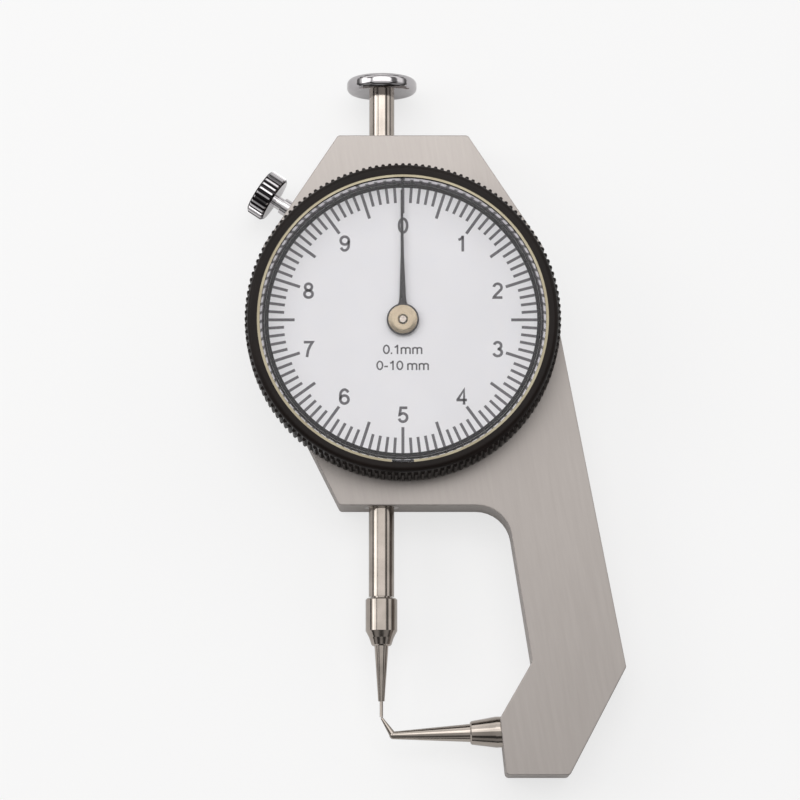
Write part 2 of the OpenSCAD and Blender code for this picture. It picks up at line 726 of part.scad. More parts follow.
// A flanged bush with its flange from Z = 0 up and its barrel below
module flanged_bush(bore_d, barrel_l) {
  rotate_extrude() polygon([
    [bore_d / 2 + run_fit, -barrel_l], [arbor_bush_d / 2, -barrel_l], [arbor_bush_d / 2, 0],
    [arbor_flange_d / 2, 0], [arbor_flange_d / 2, arbor_flange_t], [bore_d / 2 + run_fit, arbor_flange_t]
  ]);
}

module rear_arbor_bush() {
  color([0.72, 0.58, 0.3]) translate([0, 0, rear_z1]) flanged_bush(pivot_d, rear_bridge_t);
}

module front_arbor_bush() {
  color([0.72, 0.58, 0.3]) translate([0, 0, front_z0]) mirror([0, 0, 1])
    flanged_bush(journal_d, front_bridge_t);
}

module arbor_pinion() {
  color([0.7, 0.7, 0.72]) {
    rotate_extrude() polygon([
      [0, arbor_z0], [pivot_d / 2, arbor_z0], [pivot_d / 2, shoulder_z0], [arbor_d / 2, shoulder_z0],
      [arbor_d / 2, shoulder_z1], [journal_d / 2, shoulder_z1], [journal_d / 2, hub_z1], [0, hub_z1]
    ]);
    translate([0, 0, spindle_z - pinion_w / 2]) linear_extrude(pinion_w) polygon(pinion_outline);
  }
}

module hairspring_collet() {
  bore_r = arbor_d / 2 + press_fit;
  color([0.74, 0.6, 0.3]) ring(bore_r, collet_d / 2, hair_z0 - collet_side, hair_z0 + hair_w + collet_side);
}

module hairspring() {
  steps = hair_turns * 24;
  r0 = collet_d / 2 + press_fit + hair_t / 2;
  side = function (s) [for (i = [0:steps])
    (r0 + (hair_r - r0) * i / steps + s * hair_t / 2) * [cos(i * 15), sin(i * 15)]];
  color([0.35, 0.4, 0.55]) translate([0, 0, hair_z0]) linear_extrude(hair_w)
    polygon(concat(side(-1), reversed(side(1))));
}

module hairspring_stud() {
  color([0.74, 0.6, 0.3]) translate([stud_r, 0, hair_z0]) cylinder(d = stud_d, h = front_z1 - hair_z0);
}

module pointer_hand() {
  // The blade flares where it leaves its boss and is nearly parallel beyond its middle
  waist_w = (hand_w + 3 * hand_tip_w) / 4;
  right = [
    [hand_w, 0.35 * hand_boss_d], [0.6 * hand_w, 0.55 * hand_boss_d], [hand_w / 2, 0.7 * hand_boss_d],
    [waist_w / 2, hand_l / 2], [hand_tip_w / 2, hand_l]
  ];
  left = [for (p = reversed(right)) [-p[0], p[1]]];
  color([0.16, 0.16, 0.17]) rotate([0, 0, hand_set]) translate([0, 0, hand_z0]) linear_extrude(hand_t)
    difference() {
      union() {
        circle(d = hand_boss_d);
        polygon(concat(right, left));
      }
      circle(d = hub_core_d + 2 * press_fit);
    }
}

module pointer_hub() {
  // The edge is bevelled and the bore is countersunk round the arbor's end
  bevel = (hub_z1 - hand_z1) / 2;
  bore = journal_d / 2 + press_fit;
  color([0.85, 0.79, 0.68]) rotate_extrude() polygon([
    [bore, hub_z0], [hub_d / 2 - bevel, hub_z0], [hub_d / 2 - bevel, hand_z0],
    [hub_core_d / 2, hand_z0], [hub_core_d / 2, hand_z1], [hub_d / 2, hand_z1],
    [hub_d / 2, hub_z1 - bevel], [hub_d / 2 - 4 * bevel, hub_z1],
    [bore + 2 * bevel, hub_z1], [bore, hub_z1 - 1.5 * bevel]
  ]);
}

module spindle() {
  color([0.75, 0.75, 0.77]) difference() {
    union() {
      spindle_rod(spindle_d, spindle_end, spindle_top);
      spindle_rod(cap_stub_d, spindle_top, spindle_top + cap_stub_l);
    }
    // Rack on the side that faces the pinion
    translate([spindle_x, 0, spindle_z - spindle_r - cut]) linear_extrude(spindle_d + 2 * cut)
      polygon(concat(
        [[spindle_r + cut, -travel - rack_run_out], [rack_line + tooth_add, -travel - rack_run_out]],
        rack_zigzag,
        [[rack_line + tooth_add, rack_run_out], [spindle_r + cut, rack_run_out]]
      ));
    translate([spindle_x, guide_y, spindle_z - spindle_r - cut])
      cylinder(r = guide_d / 2 + press_fit, h = cut + pin_seat);
    translate([spindle_x - spindle_r - cut, -spring_pin_drop, spindle_z]) rotate([0, 90, 0])
      cylinder(r = spring_pin_d / 2 + press_fit, h = cut + pin_seat);
    spindle_rod(stub_d + 2 * press_fit, spindle_end - cut, spindle_end + stub_l);
  }
}

module lift_cap() {
  rim_y = spindle_top + cap_h - cap_dome - cap_r;
  face_r = cap_d / 2 - cap_r;
  rim = quarter([0, 0], cap_r);
  bore = cap_stub_d / 2 + press_fit;
  bore_y = spindle_top + cap_stub_l + pass_gap;
  color([0.8, 0.8, 0.82]) spindle_turned() polygon(concat(
    [[bore, spindle_top]],
    [for (p = reversed(rim)) [face_r + p[0], spindle_top + cap_r - p[1]]],
    [for (p = rim) [face_r + p[0], rim_y + p[1]]],
    [for (i = [1:arc_steps])
      let (r = face_r * (1 - i / arc_steps))
      [r, rim_y + cap_r + cap_dome * (1 - pow(r / face_r, 2))]],
    [[0, bore_y], [bore, bore_y]]
  ));
}

module contact_point() {
  y_stub = spindle_end + stub_l - pass_gap;
  y_seat = spindle_end - press_fit;
  y_collar = spindle_end - groove_w;
  y_step = y_collar - collar_l;
  y_needle = y_step - step_l;
  y_pin = y_needle - needle_l;
  edge = 0.2;
  color([0.74, 0.74, 0.76]) spindle_turned() polygon([
    [0, y_stub], [stub_d / 2, y_stub], [stub_d / 2, y_seat], [groove_d / 2, y_seat], [groove_d / 2, y_collar],
    [collar_d / 2 - edge, y_collar], [collar_d / 2, y_collar - edge], [collar_d / 2, y_step + collar_bevel],
    [step_d / 2, y_step], [step_end_d / 2, y_needle + edge], [step_end_d / 2 - edge, y_needle],
    [needle_d / 2, y_needle], [needle_end_d / 2, y_pin], [pin_d / 2, y_pin], [pin_d / 2, -tip_depth], [0, -tip_depth]
  ]);
}

module guide_pin() {
  z0 = rear_z0 + pass_gap;
  color([0.6, 0.6, 0.62]) translate([spindle_x, guide_y, z0])
    cylinder(d = guide_d, h = spindle_z - spindle_r + pin_seat - pass_gap - z0);
}

module spring_pin() {
  x0 = spring_x - loop_r;
  color([0.6, 0.6, 0.62]) translate([x0, -spring_pin_drop, spindle_z]) rotate([0, 90, 0])
    cylinder(d = spring_pin_d, h = spindle_x - spindle_r + pin_seat - pass_gap - x0);
}

module spring_post() {
  color([0.6, 0.6, 0.62]) translate([spring_x, -spring_post_drop, rear_z0])
    cylinder(d = spring_pin_d, h = spindle_z + loop_r - rear_z0);
}

module return_spring() {
  // Lower loop lies flat round the post, upper loop stands round the spindle's pin
  low = [spring_x, -spring_post_drop, spindle_z];
  high = [spring_x, -spring_pin_drop, spindle_z];
  coil_y0 = low[1] + 2 * loop_r;
  coil_y1 = high[1] - 2 * loop_r;
  loop_steps = 12;
  coil_steps = spring_turns * loop_steps;
  lower_loop = [for (i = [0:loop_steps - 2])
    let (a = 120 - i * 360 / loop_steps)
    low + loop_r * [cos(a), sin(a), 0]];
  coil = [for (i = [0:coil_steps])
    let (p = polar(coil_r, 180 - i * 360 / loop_steps))
    [spring_x + p[0], coil_y0 + (coil_y1 - coil_y0) * i / coil_steps, spindle_z + p[1]]];
  upper_loop = [for (i = [0:loop_steps - 2])
    let (a = 210 + i * 360 / loop_steps)
    high + loop_r * [0, cos(a), sin(a)]];
  color([0.55, 0.56, 0.6]) wire(concat(lower_loop, coil, upper_loop), spring_wire, [0, 0, 1]);
}

module bezel() {
  front = quarter([bezel_root_r - bezel_round, bezel_z1 - bezel_round], bezel_round);
  snap_z1 = snap_z0 + snap_h + press_fit;
  snap_r = skirt_ro - snap_w / 2 - press_fit;
  color([0.13, 0.12, 0.12]) union() {
    rotate_extrude($fn = 128) polygon(concat(
      [
        [skirt_ri, skirt_z0], [skirt_ro, skirt_z0], [skirt_ro, snap_z0 - press_fit],
        [snap_r, snap_z0 - press_fit], [snap_r, snap_z1], [skirt_ro, snap_z1], [skirt_ro, bezel_z0],
        [bezel_root_r, bezel_z0]
      ],
      front,
      [
        [seat_r, bezel_z1], [seat_r, retainer_z1], [seat_r + retainer_groove, retainer_z1],
        [seat_r + retainer_groove, crystal_z1], [seat_r, crystal_z1], [seat_r, dial_z0], [ledge_r, dial_z0],
        [ledge_r, bezel_z0 + skirt_t], [skirt_ri, bezel_z0 + skirt_t]
      ]
    ));
    translate([0, 0, bezel_z0]) bezel_ridges();
  }
}

// Outline with straight-sided ridges between radii r0 and r1
function ridged(count, r0, r1) =
  [for (i = [0:count - 1])
    each [for (k = [[-ridge_foot, r0], [-ridge_top, r1], [ridge_top, r1], [ridge_foot, r0]])
      k[1] * [cos((i + k[0]) * 360 / count), sin((i + k[0]) * 360 / count)]]];

// Ridges round the bezel's rim, rooted in it and chamfered towards the front
module bezel_ridges() {
  ridge_l = bezel_h - bezel_round;
  root = bezel_root_r - bezel_round;
  intersection() {
    linear_extrude(ridge_l) polygon(ridged(ridges, bezel_root_r - press_fit, bezel_d / 2));
    rotate_extrude($fn = 128) polygon([
      [root, 0], [bezel_d / 2, 0], [bezel_d / 2, ridge_l - ridge_h], [bezel_root_r, ridge_l], [root, ridge_l]
    ]);
  }
}

module bezel_snap_ring() {
  color([0.6, 0.6, 0.63]) rotate([0, 0, 10])
    rotate_extrude(angle = 340) translate([skirt_ro - snap_w / 2, snap_z0]) square([snap_w, snap_h]);
}

module dial_plate() {
  color([0.87, 0.87, 0.88]) ring(dial_hole_d / 2, seat_r - press_fit, dial_z0, dial_z1);
}

module dial_spacer() {
  r1 = seat_r - press_fit;
  color([0.78, 0.78, 0.8]) rotate_extrude() polygon([
    [face_r, dial_z1], [r1, dial_z1], [r1, crystal_z0], [face_r + spacer_lean, crystal_z0]
  ]);
}

module crystal() {
  r = seat_r - press_fit;
  color([0.85, 0.9, 0.92, 0.35]) rotate_extrude() polygon([
    [0, crystal_z0], [r, crystal_z0], [r, crystal_z1 - crystal_bevel],
    [r - crystal_bevel, crystal_z1], [0, crystal_z1]
  ]);
}

module crystal_retaining_ring() {
  gap = retainer_gap / seat_r * 180 / PI;
  r0 = seat_r - retainer_w;
  color([0.8, 0.72, 0.5]) rotate([0, 0, -90 + gap / 2]) rotate_extrude(angle = 360 - gap)
    translate([r0, crystal_z1]) square([retainer_w + retainer_groove - press_fit, retainer_h - press_fit]);
}

module lock_screw() {
  edge = 0.35;
  knurl_depth = 0.3;
  color([0.7, 0.7, 0.72]) {
    at_lock() {
      translate([0, 0, lock_stand]) ridged_disc(lock_head_d, lock_head_t, lock_ridges, knurl_depth, edge);
      translate([0, 0, lock_stand - lock_neck_l - cut]) cylinder(d = lock_neck_d, h = lock_neck_l + 2 * cut);
      rotate_extrude() polygon(concat(
        [for (p = reversed(quarter([0, 0], lock_tip_r))) [p[0], -lock_reach - p[1]]],
        [
          [lock_tip_r, lock_d - lock_reach], [lock_d / 2, lock_d - lock_reach],
          [lock_d / 2, lock_stand - lock_neck_l], [0, lock_stand - lock_neck_l]
        ]
      ));
    }
  }
}

module anvil_holder() {
  edge = 0.2;
  bore = anvil_shank_d / 2 + press_fit;
  color([0.74, 0.74, 0.76]) at_anvil() rotate_extrude() polygon([
    [0, -holder_seat - shank_l + pass_gap], [shank_d / 2, -holder_seat - shank_l + pass_gap],
    [shank_d / 2, -holder_seat], [holder_d / 2, -holder_seat], [holder_d / 2, holder_seat],
    [holder_end_d / 2, holder_l - edge], [holder_end_d / 2 - edge, holder_l], [bore, holder_l],
    [bore, -holder_seat], [0, -holder_seat]
  ]);
}

// A taper from diameter d0 at Z = 0 to a rounded end of diameter d1 at Z = l
module round_ended_taper(d0, d1, l) {
  rotate_extrude() polygon(concat([[0, 0], [d0 / 2, 0]], quarter([0, l - d1 / 2], d1 / 2)));
}

module anvil_needle() {
  bend_l = norm(bend_at - holder_base);
  up = tip_at - bend_at;
  // The bent tip starts inside the needle's rounded end
  root_d = anvil_bend_d - 2 * bend_inset;
  color([0.74, 0.74, 0.76]) {
    at_anvil() {
      translate([0, 0, -holder_seat + pass_gap]) cylinder(d = anvil_shank_d, h = holder_l + holder_seat);
      translate([0, 0, holder_l])
        round_ended_taper(anvil_d, anvil_bend_d, bend_l - holder_l + anvil_bend_d / 2);
    }
    translate([bend_at[0], bend_at[1], spindle_z])
      rotate([0, 0, atan2(up[1], up[0])]) rotate([0, 90, 0]) round_ended_taper(root_d, anvil_tip_d, norm(up));
  }
}

frame();
rear_cover();
rear_cover_screws();
upper_bush();
lower_bush();
rear_bridge();
rear_bridge_screws();
bridge_pillars();
front_bridge();
front_bridge_screws();
rear_arbor_bush();
front_arbor_bush();
arbor_pinion();
hairspring_collet();
hairspring();
hairspring_stud();
pointer_hand();
pointer_hub();
spindle();
lift_cap();
contact_point();
guide_pin();
spring_pin();
spring_post();
return_spring();
bezel();
bezel_snap_ring();
dial_plate();
dial_spacer();
crystal();
crystal_retaining_ring();
lock_screw();
anvil_holder();
anvil_needle();
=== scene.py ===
"""Looks of the dial thickness gauge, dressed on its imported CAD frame.

Lengths are in metres. The plate lies flat with its back on the floor (z = 0), the
dial faces up (+Z) and the spindle slides along Y. The script gives every piece its
finish and adds the dial's print, the floor, the lights and the camera.
"""

import json
import math

import bmesh
import bpy
from mathutils import Matrix, Vector


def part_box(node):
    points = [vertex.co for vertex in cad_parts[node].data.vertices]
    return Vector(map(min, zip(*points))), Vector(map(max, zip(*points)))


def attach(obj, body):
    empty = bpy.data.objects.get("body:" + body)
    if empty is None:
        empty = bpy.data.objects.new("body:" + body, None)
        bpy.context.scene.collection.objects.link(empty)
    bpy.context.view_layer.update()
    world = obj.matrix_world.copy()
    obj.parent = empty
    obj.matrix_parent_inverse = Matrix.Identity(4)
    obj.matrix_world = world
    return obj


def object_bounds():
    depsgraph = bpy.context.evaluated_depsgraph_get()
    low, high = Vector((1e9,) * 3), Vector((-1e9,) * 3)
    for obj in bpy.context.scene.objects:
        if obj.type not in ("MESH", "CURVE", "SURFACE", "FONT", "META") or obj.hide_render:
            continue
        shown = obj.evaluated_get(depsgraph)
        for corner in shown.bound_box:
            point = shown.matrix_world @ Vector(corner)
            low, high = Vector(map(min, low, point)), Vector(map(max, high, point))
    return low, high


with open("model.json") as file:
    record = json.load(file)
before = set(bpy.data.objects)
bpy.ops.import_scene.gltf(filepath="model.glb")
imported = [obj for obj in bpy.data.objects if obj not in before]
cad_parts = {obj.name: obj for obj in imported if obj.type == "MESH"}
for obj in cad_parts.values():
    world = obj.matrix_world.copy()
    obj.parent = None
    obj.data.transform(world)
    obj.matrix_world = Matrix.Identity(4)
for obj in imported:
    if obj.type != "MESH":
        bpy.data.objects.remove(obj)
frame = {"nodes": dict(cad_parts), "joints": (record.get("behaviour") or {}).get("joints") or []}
cad_low, cad_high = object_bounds()
nodes = frame["nodes"]

MM = 0.001


def srgb(red, green, blue):
    """Linear colour with alpha from 0-255 screen values."""
    def linear(value):
        part = value / 255
        return part / 12.92 if part <= 0.04045 else ((part + 0.055) / 1.055) ** 2.4
    return (linear(red), linear(green), linear(blue), 1.0)


# Dial print, laid on the dial plate
PRINT_T = 0.012 * MM
TICK_COUNT = 100
LONG_TICK_EVERY = 5
TICK_OUTER_R = 20.0 * MM
SHORT_TICK_INNER_R = 17.7 * MM
LONG_TICK_INNER_R = 16.1 * MM
SHORT_TICK_W = 0.42 * MM
LONG_TICK_W = 0.44 * MM
BORDER_INNER_R = 19.98 * MM
BORDER_OUTER_R = 20.58 * MM
BORDER_STEPS = 240
NUMERAL_COUNT = 10
NUMERAL_ACROSS_R = 14.8 * MM
NUMERAL_UPRIGHT_R = 14.25 * MM
NUMERAL_H = 2.4 * MM
NUMERAL_STRETCH = 1.18
UNIT_LINES = (("0.1mm", -4.45 * MM), ("0-10 mm", -6.85 * MM))
UNIT_H = 1.4 * MM
UNIT_STRETCH = 1.36

# Stroke characters, drawn in a box one unit high
STROKE_W = 0.165
ARC_STEPS = 20
DIGIT_W = 0.56
DIGIT_ADVANCE = 0.6
LETTER_GAP = 0.06
M_LEFT = 0.05
M_STEP = 0.34

# Ribbons: share of the width within which the ends meet, and the sharpest mitre drawn
CLOSED_WITHIN = 0.01
SHARPEST_MITRE = 0.1

# Finishes: colours of the darker and the lighter tone, then roughness.
# Turned metal has the pitch of its tool lines as well.
TURNED_FINISH = {
    "polished_steel": (srgb(160, 152, 144), srgb(178, 169, 161), 0.13, 0.12 * MM),
    "plated_steel": (srgb(174, 171, 173), srgb(192, 189, 191), 0.1, 0.15 * MM),
    "brass": (srgb(206, 180, 128), srgb(222, 198, 148), 0.26, 0.12 * MM),
    "spring_steel": (srgb(120, 118, 122), srgb(142, 140, 144), 0.24, 0.2 * MM),
    "hub_cream": (srgb(153, 139, 119), srgb(165, 152, 131), 0.22, 0.12 * MM),
    "ring_gold": (srgb(140, 132, 113), srgb(152, 145, 125), 0.2, 0.2 * MM),
}
PAINTED_FINISH = {
    "dial_white": (srgb(233, 232, 235), srgb(237, 236, 239), 0.5),
    "hand_grey": (srgb(60, 58, 60), srgb(70, 68, 70), 0.4),
    "print_black": (srgb(14, 12, 16), srgb(22, 19, 24), 0.5),
    "print_grey": (srgb(96, 94, 98), srgb(108, 106, 110), 0.55),
}
FRAME_FINISH = (srgb(157, 151, 147), srgb(171, 165, 161), 0.4)
BEZEL_FINISH = (srgb(17, 10, 7), srgb(24, 15, 11), 0.41)
# The lock screw's darker tone is painted shade at the bottom of its grooves
LOCK_FINISH_GROOVE_SHADE = (srgb(40, 38, 40), srgb(206, 203, 205), 0.12)
# The spacer's darker tone is painted shade on its lower wall next to the dial
SPACER_FINISH_PAINTED_SHADE = (srgb(86, 81, 88), srgb(224, 222, 224), 0.05)
SPECIAL_FINISH = {
    "dial_spacer": "spacer_mirror_painted_shade",
    "pointer_hub": "hub_cream",
    "crystal_retaining_ring": "ring_gold",
    "lock_screw": "lock_steel_groove_shade",
}

# Brushing of the frame: it runs along the arm, its streaks outweigh its clouds, and
# its highlights spread across it
ARM_LEAN = math.radians(-10)
BRUSH_STRETCH = 14
STREAK_SHARE = 0.6
BRUSH_ANISOTROPY = 0.7
QUARTER_TURN = 0.25
FRAME_EDGE = 0.25 * MM
EDGE_SAMPLES = 4

# Sheen of the paints, and the crystal's acrylic
BEZEL_SHEEN = 0.19
PRINT_SHEEN = 0.1
CRYSTAL_SHEEN = 0.15
CRYSTAL_IOR = 1.49
CRYSTAL_ROUGH = 0.01
CRYSTAL_GLINT = (0.45, 0.45, 0.45, 1.0)
CRYSTAL_TINT = (0.985, 0.99, 1.0, 1.0)
CLEAR = (1.0, 1.0, 1.0, 1.0)

# Shares of the lock screw's head radius between which painted shade darkens the bottom of its
# grooves
GROOVE_INSIDE = 0.86
GROOVE_SHADE_FROM = 0.89
GROOVE_SHADE_TO = 0.935
GROOVE_OUTSIDE = 0.985

# Shares of the spacer's height between which its wall turns from painted shade, next to the dial, to
# bright metal
SPACER_SHADE_TO = 0.5
SPACER_BRIGHT_FROM = 0.62

# Camera at the photograph's viewing angle
CAMERA_TARGET = Vector((-0.43, -10.77, 5.47)) * MM
CAMERA_DISTANCE = 600 * MM
CAMERA_TILT = math.radians(8.2)
CAMERA_LENS = 179.4
CAMERA_NEAR = 10 * MM
SENSOR_WIDTH = 36.0

# Floor: its own white, and how far it stays white to the camera and in mirrors
FLOOR_SIZE = 6.0
FLOOR_DROP = 0.05 * MM
FLOOR_WHITE = 0.9
FLOOR_SHADE = 0.99
FLOOR_ROUGH = 0.8
FLOOR_GLOW = 0.7
FLOOR_MIRRORED_GLOW = 0.15

# Light tent: brightness over the height of the direction looked in, then the share of
# its strength left at the front and the Y of the directions between which it dims
TENT_LEVELS = ((0.0, 0.06), (0.16, 0.10), (0.34, 0.66), (0.56, 0.66),
               (0.62, 0.10), (0.80, 0.10), (0.86, 0.88), (1.0, 0.88))
TENT_TINT = (1.0, 0.99, 0.985)
TENT_STRENGTH = 2.12
TENT_FRONT_SHARE = 0.3
TENT_FRONT_Y = -0.12
TENT_BACK_Y = 0.22

# Softboxes: place, point aimed at, width, length and brightness
SOFTBOXES = {
    "overhead_softbox": ((0.0, 0.255, 0.42), (0.0, 0.03, 0.0), 0.50, 0.28, 0.95),
    "left_softbox": ((-0.45, 0.1, 0.35), (0.0, 0.0, 0.0), 0.3, 0.3, 2.0),
}


# Shader nodes

def new_material(name):
    """A node material with one Principled shader, as (material, tree, shader)."""
    material = bpy.data.materials.new(name)
    material.use_nodes = True
    tree = material.node_tree
    return material, tree, tree.nodes["Principled BSDF"]


def own_coords(tree, stretch=(1.0, 1.0, 1.0), turn_z=0.0):
    """The piece's own coordinates, turned about Z and then stretched."""
    place = tree.nodes.new("ShaderNodeTexCoord")
    turned = tree.nodes.new("ShaderNodeMapping")
    turned.inputs["Rotation"].default_value = (0.0, 0.0, turn_z)
    stretched = tree.nodes.new("ShaderNodeMapping")
    stretched.inputs["Scale"].default_value = stretch
    tree.links.new(place.outputs["Object"], turned.inputs["Vector"])
    tree.links.new(turned.outputs["Vector"], stretched.inputs["Vector"])
    return stretched.outputs["Vector"]


def noise(tree, vector, scale, detail, roughness=0.5):
    """A noise texture's value on the given coordinates, with the scale per metre."""
    texture = tree.nodes.new("ShaderNodeTexNoise")
    texture.inputs["Scale"].default_value = scale
    texture.inputs["Detail"].default_value = detail
    texture.inputs["Roughness"].default_value = roughness
    tree.links.new(vector, texture.inputs["Vector"])
    return texture.outputs["Fac"]


def ramp(tree, value, stops):
    """A colour ramp over the value. Each stop is (position, colour)."""
    node = tree.nodes.new("ShaderNodeValToRGB")
    band = node.color_ramp
    while len(band.elements) < len(stops):
        band.elements.new(0.5)
    for element, (position, colour) in zip(band.elements, stops):
        element.position = position
        element.color = colour
    tree.links.new(value, node.inputs["Fac"])
    return node.outputs["Color"]


def two_tone(tree, value, dark, light, soft=0.2):
    """A colour between two others, changing within soft of the value's middle."""
    return ramp(tree, value, ((0.5 - soft, dark), (0.5 + soft, light)))


def spread(tree, value, low, high, start=0.0, end=1.0):
    """The value, from start to end, carried to the range low to high."""
    node = tree.nodes.new("ShaderNodeMapRange")
    node.inputs["From Min"].default_value = start
    node.inputs["From Max"].default_value = end
    node.inputs["To Min"].default_value = low
    node.inputs["To Max"].default_value = high
    tree.links.new(value, node.inputs["Value"])
    return node.outputs["Result"]


def math_node(tree, operation, *inputs):
    """A math node over inputs that are either sockets or plain numbers."""
    node = tree.nodes.new("ShaderNodeMath")
    node.operation = operation
    for socket, given in zip(node.inputs, inputs):
        if isinstance(given, (int, float)):
            socket.default_value = given
        else:
            tree.links.new(given, socket)
    return node.outputs["Value"]


def vary_roughness(tree, shader, value, middle, swing):
    """Roughness that follows the value, within swing of its middle."""
    tree.links.new(spread(tree, value, middle - swing, middle + swing), shader.inputs["Roughness"])


def bump(tree, shader, height, depth, strength):
    """Relief from a height value, with depth in metres. Gives back its node."""
    node = tree.nodes.new("ShaderNodeBump")
    node.inputs["Distance"].default_value = depth
    node.inputs["Strength"].default_value = strength
    tree.links.new(height, node.inputs["Height"])
    tree.links.new(node.outputs["Normal"], shader.inputs["Normal"])
    return node


def vector_math(tree, operation, vector, other=(0.0, 0.0, 0.0)):
    """The outputs of a vector maths node over a socket and a fixed vector."""
    node = tree.nodes.new("ShaderNodeVectorMath")
    node.operation = operation
    node.inputs[1].default_value = other
    tree.links.new(vector, node.inputs[0])
    return node.outputs


def from_axis(tree, at, axis, unit):
    """Each point's distance from an axis, counted in the given unit."""
    offset = vector_math(tree, "SUBTRACT", own_coords(tree), at)
    across = vector_math(tree, "CROSS_PRODUCT", offset["Vector"], axis.normalized() / unit)
    return vector_math(tree, "LENGTH", across["Vector"])["Value"]


# Finishes

def ease_edges(tree, relief):
    """Round the shading of the frame's edges under its relief."""
    eased = tree.nodes.new("ShaderNodeBevel")
    eased.samples = EDGE_SAMPLES
    eased.inputs["Radius"].default_value = FRAME_EDGE
    tree.links.new(eased.outputs["Normal"], relief.inputs["Normal"])


def spread_highlights(tree, shader):
    """Draw the frame's highlights out across the brushing."""
    along = tree.nodes.new("ShaderNodeVectorTransform")
    along.convert_from = "OBJECT"
    along.convert_to = "WORLD"
    along.inputs["Vector"].default_value = (math.sin(ARM_LEAN), math.cos(ARM_LEAN), 0.0)
    tree.links.new(along.outputs["Vector"], shader.inputs["Tangent"])
    shader.inputs["Anisotropic"].default_value = BRUSH_ANISOTROPY
    shader.inputs["Anisotropic Rotation"].default_value = QUARTER_TURN


def brushed_metal(name, dark, light, rough):
    """Satin metal with long brush streaks, faint clouds and eased edges."""
    material, tree, shader = new_material(name)
    brushing = own_coords(tree, (1.0, 1 / BRUSH_STRETCH, 1.0), ARM_LEAN)
    streaks = noise(tree, brushing, scale=1500, detail=4.0, roughness=0.6)
    clouds = noise(tree, own_coords(tree, (1.0, 0.4, 1.0)), scale=60, detail=3.0)
    faint = spread(tree, clouds, 0.0, 1 - STREAK_SHARE)
    both = math_node(tree, "MULTIPLY_ADD", streaks, STREAK_SHARE, faint)
    tree.links.new(two_tone(tree, both, dark, light), shader.inputs["Base Color"])
    shader.inputs["Metallic"].default_value = 1.0
    vary_roughness(tree, shader, streaks, rough, swing=0.06)
    relief = bump(tree, shader, streaks, depth=0.02 * MM, strength=0.25)
    ease_edges(tree, relief)
    spread_highlights(tree, shader)
    return material


def turned_metal(name, dark, light, rough, line_pitch):
    """Smooth turned metal with faint tool lines and slight colour change."""
    material, tree, shader = new_material(name)
    lines = noise(tree, own_coords(tree, (0.05, 1.0, 0.05)), scale=1 / line_pitch, detail=3.0)
    tone = noise(tree, own_coords(tree), scale=250, detail=2.0)
    tree.links.new(two_tone(tree, tone, dark, light, soft=0.15), shader.inputs["Base Color"])
    shader.inputs["Metallic"].default_value = 1.0
    vary_roughness(tree, shader, lines, rough, swing=rough * 0.2)
    bump(tree, shader, lines, depth=0.01 * MM, strength=0.08)
    return material


def worn_polish(tree, shader, rough):
    """Bright metal whose roughness changes slightly with wear."""
    shader.inputs["Metallic"].default_value = 1.0
    wear = noise(tree, own_coords(tree), scale=900, detail=3.0)
    vary_roughness(tree, shader, wear, rough, swing=rough * 0.3)


def knurled_metal(name, dark, light, rough):
    """Plated metal of the lock screw, with painted shade at the bottom of its grooves."""
    material, tree, shader = new_material(name)
    joint = next(j for j in frame["joints"] if j["child"] == "lock_screw")
    low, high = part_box("lock_screw")
    head_r = (high.z - low.z) / 2
    radius = from_axis(tree, Vector(joint["pos_m"]), Vector(joint["axis"]), head_r)
    # Painted shade at the bottom of the grooves, bright plated metal either side
    stops = ((GROOVE_INSIDE, light), (GROOVE_SHADE_FROM, dark),
             (GROOVE_SHADE_TO, dark), (GROOVE_OUTSIDE, light))
    tree.links.new(ramp(tree, radius, stops), shader.inputs["Base Color"])
    worn_polish(tree, shader, rough)
    return material


def rim_mirror(name, dark, light, rough):
    """Polished wall of the dial spacer, with painted shade on its lower part next to the dial and
    bright metal under the crystal.
    """
    material, tree, shader = new_material(name)
    low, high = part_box("dial_spacer")
    split = tree.nodes.new("ShaderNodeSeparateXYZ")
    tree.links.new(own_coords(tree), split.inputs["Vector"])
    height = spread(tree, split.outputs["Z"], 0.0, 1.0, low.z, high.z)
    # Painted shade on the lower wall, bright polished metal above it
    stops = ((SPACER_SHADE_TO, dark), (SPACER_BRIGHT_FROM, light))
    tree.links.new(ramp(tree, height, stops), shader.inputs["Base Color"])
    worn_polish(tree, shader, rough)
    return material


def satin_black(name, dark, light, rough):
    """Black finish of the bezel: satin, with a fine grain."""
    material, tree, shader = new_material(name)
    grain = noise(tree, own_coords(tree), scale=2500, detail=3.0)
    tone = noise(tree, own_coords(tree), scale=200, detail=3.0)
    tree.links.new(two_tone(tree, tone, dark, light), shader.inputs["Base Color"])
    vary_roughness(tree, shader, grain, rough, swing=0.07)
    shader.inputs["Specular IOR Level"].default_value = BEZEL_SHEEN
    bump(tree, shader, grain, depth=0.01 * MM, strength=0.15)
    return material


def painted(name, dark, light, rough):
    """Matt painted or printed surface with a faint change of tone."""
    material, tree, shader = new_material(name)
    tone = noise(tree, own_coords(tree), scale=120, detail=3.0)
    grain = noise(tree, own_coords(tree), scale=3000, detail=2.0)
    tree.links.new(two_tone(tree, tone, dark, light), shader.inputs["Base Color"])
    vary_roughness(tree, shader, grain, rough, swing=0.05)
    shader.inputs["Specular IOR Level"].default_value = PRINT_SHEEN
    return material


def clear_crystal(name):
    """Clear acrylic of the crystal, with the faintest surface wear."""
    material, tree, shader = new_material(name)
    wear = noise(tree, own_coords(tree), scale=400, detail=3.0)
    vary_roughness(tree, shader, wear, CRYSTAL_ROUGH, swing=CRYSTAL_ROUGH)
    tree.links.new(two_tone(tree, wear, CRYSTAL_TINT, CLEAR), shader.inputs["Base Color"])
    shader.inputs["Transmission Weight"].default_value = 1.0
    shader.inputs["IOR"].default_value = CRYSTAL_IOR
    shader.inputs["Specular IOR Level"].default_value = CRYSTAL_SHEEN
    shader.inputs["Specular Tint"].default_value = CRYSTAL_GLINT
    return material


